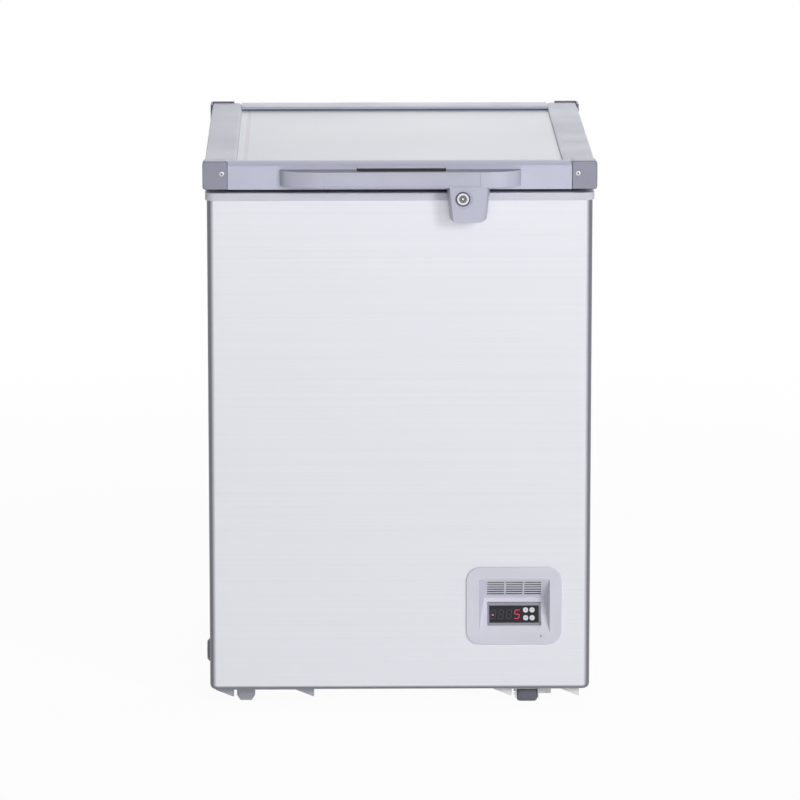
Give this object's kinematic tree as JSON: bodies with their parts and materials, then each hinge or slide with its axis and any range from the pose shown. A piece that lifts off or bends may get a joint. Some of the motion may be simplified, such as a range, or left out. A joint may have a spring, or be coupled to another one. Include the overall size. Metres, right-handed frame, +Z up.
{
  "type": "chest ultra low temperature freezer",
  "caption": "Insulated chest freezer for very low temperatures, with a hinged framed lid, bowed handle, cam lock, stepped tank, sloping control pit, feet and rollers.",
  "frame": {"origin": "on the floor, under the middle of the whole freezer with its lid shut", "axes": "+Z up; the front with the control panel and the lid's handle looks towards -Y; +X is to the right of someone who faces the front"},
  "size_m": [0.564, 0.639, 0.81],
  "materials": {
    "brushed_sheet": "upright brushed grain under a clear lacquer",
    "galvanised": "galvanised, dull spangle",
    "plated_steel": "bright zinc plate",
    "painted_black": "satin black enamel",
    "painted_fins": "dark grey enamel",
    "copper": "drawn copper tube, dull",
    "silver_plastic": "silver grey, fine moulded satin",
    "collar_plastic": "pale grey, fine moulded satin",
    "panel_sheet": "pale grey laminated sheet with a fine dot print",
    "liner_sheet": "embossed aluminium sheet",
    "white_plastic": "white formed sheet",
    "foam": "rigid polyurethane foam",
    "gasket_rubber": "soft dark grey seal",
    "black_rubber": "black rubber",
    "foot_plastic": "dark grey moulded",
    "pipe_plastic": "grey pipe",
    "black_plastic": "black moulded",
    "lens": "dark tinted window",
    "button_plastic": "white moulded"
  },
  "bodies": {
    "cabinet": {"outer_wrap": "brushed_sheet", "rear_panel": "galvanised", "base_pan": "galvanised", "machine_cover": "galvanised", "liner": "liner_sheet", "cabinet_foam": "foam", "collar": "collar_plastic", "evaporator_coil": "copper", "drain_pipe": "pipe_plastic", "foot_front": "foot_plastic", "foot_rear": "foot_plastic", "foot_brackets": "painted_black", "roller_bracket_front": "painted_black", "roller_bracket_rear": "painted_black", "roller_axles": "plated_steel", "bracket_bolts": "plated_steel", "compressor": "painted_black", "compressor_grommets": "black_rubber", "terminal_cover": "black_plastic", "condenser": "painted_fins", "fan_shroud": "galvanised", "fan_motor": "black_plastic", "refrigerant_pipes": "copper", "filter_drier": "copper", "control_bezel": "collar_plastic", "controller": "collar_plastic", "controller_lens": "lens", "mains_gland": "black_plastic", "keeper": "plated_steel", "hinge_bases": "plated_steel", "hinge_pins": "plated_steel", "rear_screws": "plated_steel"},
    "lid": {"lid_rail_front": "silver_plastic", "lid_rail_rear": "silver_plastic", "lid_rail_left": "silver_plastic", "lid_rail_right": "silver_plastic", "cap_front_left": "silver_plastic", "cap_front_right": "silver_plastic", "cap_rear_left": "silver_plastic", "cap_rear_right": "silver_plastic", "cap_screws": "plated_steel", "lid_panel": "panel_sheet", "lid_inner_panel": "white_plastic", "lid_foam": "foam", "gasket": "gasket_rubber", "handle": "silver_plastic", "lock_housing": "silver_plastic", "lock_barrel": "plated_steel", "hinge_leaves": "plated_steel"},
    "lock": {"lock_plug": "plated_steel", "lock_cam": "plated_steel"},
    "plug": {"drain_plug": "collar_plastic"},
    "fan": {"fan_blade": "white_plastic"},
    "roller_f": {"roller_front": "foot_plastic"},
    "roller_r": {"roller_rear": "foot_plastic"},
    "key_up": {"button_up": "button_plastic"},
    "key_set": {"button_set": "button_plastic"},
    "key_down": {"button_down": "button_plastic"},
    "key_light": {"button_light": "button_plastic"}
  },
  "joints": [
    {"name": "lid_hinge", "type": "hinge", "parent": "cabinet", "child": "lid", "pos_m": [0, 0.3145, 0.771], "axis": [-1, 0, 0], "range_deg": [0, 80]},
    {"name": "lock_turn", "type": "hinge", "parent": "lid", "child": "lock", "pos_m": [0.0894, -0.3, 0.7593], "axis": [0, 1, 0], "range_deg": [0, 90]},
    {"name": "drain_plug_pull", "type": "slide", "parent": "cabinet", "child": "plug", "axis": [-1, 0, 0], "range_m": [0, 0.018]},
    {"name": "fan_spin", "type": "hinge", "parent": "cabinet", "child": "fan", "pos_m": [0.1805, -0.1, 0.1218], "axis": [0, 1, 0], "continuous": true},
    {"name": "roller_front_roll", "type": "hinge", "parent": "cabinet", "child": "roller_f", "pos_m": [0.187, -0.2345, 0.0135], "axis": [1, 0, 0], "continuous": true},
    {"name": "roller_rear_roll", "type": "hinge", "parent": "cabinet", "child": "roller_r", "pos_m": [0.187, 0.2515, 0.0135], "axis": [1, 0, 0], "continuous": true},
    {"name": "button_up_press", "type": "slide", "parent": "cabinet", "child": "key_up", "axis": [0, 0.8861, -0.4635], "range_m": [0, 0.0006], "stiffness_N_per_m": 400},
    {"name": "button_set_press", "type": "slide", "parent": "cabinet", "child": "key_set", "axis": [0, 0.8861, -0.4635], "range_m": [0, 0.0006], "stiffness_N_per_m": 400},
    {"name": "button_down_press", "type": "slide", "parent": "cabinet", "child": "key_down", "axis": [0, 0.8861, -0.4635], "range_m": [0, 0.0006], "stiffness_N_per_m": 400},
    {"name": "button_light_press", "type": "slide", "parent": "cabinet", "child": "key_light", "axis": [0, 0.8861, -0.4635], "range_m": [0, 0.0006], "stiffness_N_per_m": 400}
  ]
}
